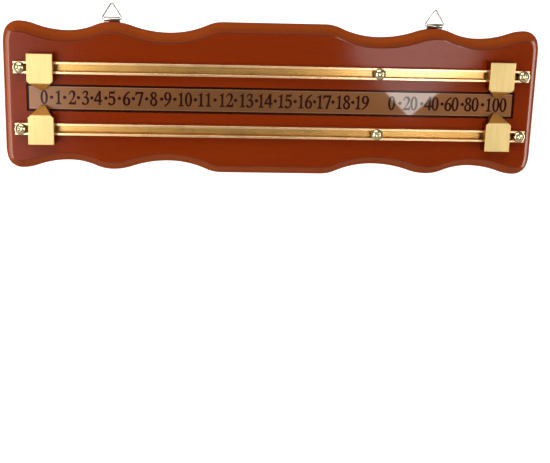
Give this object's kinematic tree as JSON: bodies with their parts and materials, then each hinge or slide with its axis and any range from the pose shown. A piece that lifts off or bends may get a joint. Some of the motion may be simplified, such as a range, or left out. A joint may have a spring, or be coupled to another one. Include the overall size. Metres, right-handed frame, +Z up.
{
  "type": "billiard scoreboard",
  "caption": "Wavy-edged wooden wall scoreboard with a printed scale plate between metal rails that carry pointed sliding markers, hung by strap hangers with wire rings.",
  "frame": {"origin": "centre of the board's back face, on the wall's side", "axes": "+X along the board to the right as seen from the front, +Y into the wall, +Z up; the front faces -Y"},
  "size_m": [0.6, 0.038, 0.1903],
  "materials": {
    "lacquered_wood": "high gloss lacquer",
    "bronze_plate": "clear coated, printed",
    "polished_gold": "polished",
    "satin_gold": "satin, brushed",
    "nickel_plate": "polished nickel",
    "black_steel": "black",
    "plain_steel": "plain",
    "felt": "felt"
  },
  "bodies": {
    "board": {"backboard": "lacquered_wood", "scale_plate": "bronze_plate", "upper_rail": "polished_gold", "lower_rail": "polished_gold", "upper_rail_screws": "polished_gold", "lower_rail_screws": "polished_gold", "left_hanger_strap": "nickel_plate", "right_hanger_strap": "nickel_plate", "hanger_screws": "black_steel"},
    "upper_left_slider": {"upper_left_marker": "satin_gold", "upper_left_foot": "plain_steel", "upper_left_friction_pad": "felt"},
    "lower_left_slider": {"lower_left_marker": "satin_gold", "lower_left_foot": "plain_steel", "lower_left_friction_pad": "felt"},
    "upper_right_slider": {"upper_right_marker": "satin_gold", "upper_right_foot": "plain_steel", "upper_right_friction_pad": "felt"},
    "lower_right_slider": {"lower_right_marker": "satin_gold", "lower_right_foot": "plain_steel", "lower_right_friction_pad": "felt"},
    "left_ring": {"left_hanger_ring": "nickel_plate"},
    "right_ring": {"right_hanger_ring": "nickel_plate"}
  },
  "joints": [
    {"name": "upper_left_slide", "type": "slide", "parent": "board", "child": "upper_left_slider", "axis": [1, 0, 0], "range_m": [-0.0028, 0.3498]},
    {"name": "lower_left_slide", "type": "slide", "parent": "board", "child": "lower_left_slider", "axis": [1, 0, 0], "range_m": [-0.0028, 0.3498]},
    {"name": "upper_right_slide", "type": "slide", "parent": "board", "child": "upper_right_slider", "axis": [1, 0, 0], "range_m": [-0.1138, 0.0058]},
    {"name": "lower_right_slide", "type": "slide", "parent": "board", "child": "lower_right_slider", "axis": [1, 0, 0], "range_m": [-0.1138, 0.0058]},
    {"name": "left_ring_hinge", "type": "hinge", "parent": "board", "child": "left_ring", "pos_m": [-0.18, -0.0013, 0.0865], "axis": [1, 0, 0], "range_deg": [-115, 100]},
    {"name": "right_ring_hinge", "type": "hinge", "parent": "board", "child": "right_ring", "pos_m": [0.18, -0.0013, 0.0865], "axis": [1, 0, 0], "range_deg": [-115, 100]}
  ]
}
